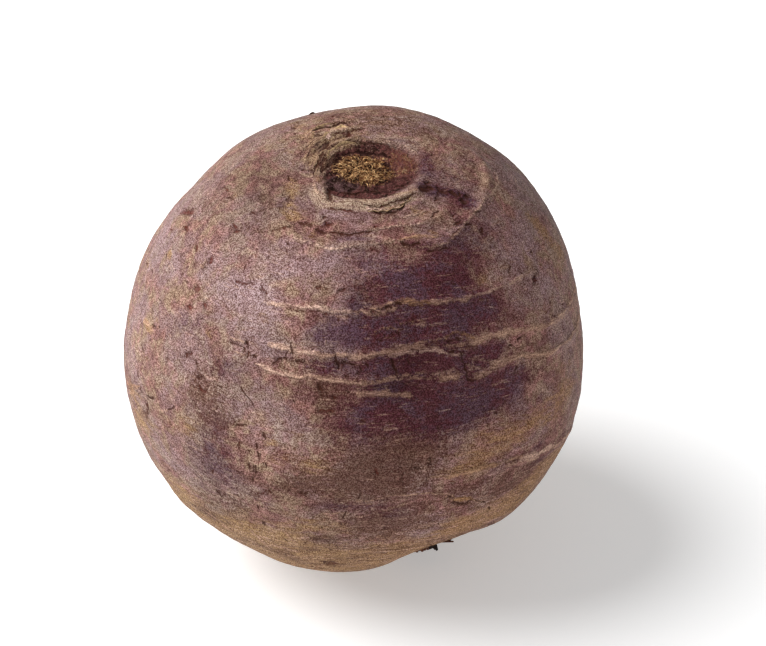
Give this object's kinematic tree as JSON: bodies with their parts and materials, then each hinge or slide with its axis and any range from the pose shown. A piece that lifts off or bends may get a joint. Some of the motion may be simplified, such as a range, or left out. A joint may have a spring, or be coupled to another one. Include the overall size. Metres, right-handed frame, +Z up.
{
  "type": "beetroot",
  "caption": "Mature globe beetroot, trimmed of its leaves, with a flaky crown scar, corky rings round its shoulder and a torn tap root.",
  "frame": {"origin": "under the middle of the root, on the surface that it stands on", "axes": "+Z up through the crown; -Y towards the side with the corky rings; +X towards the side of the torn tap root"},
  "size_m": [0.0881, 0.0886, 0.0867],
  "materials": {
    "skin": "matt, dry, corky skin"
  },
  "bodies": {
    "root": {"beetroot": "skin"}
  },
  "joints": []
}
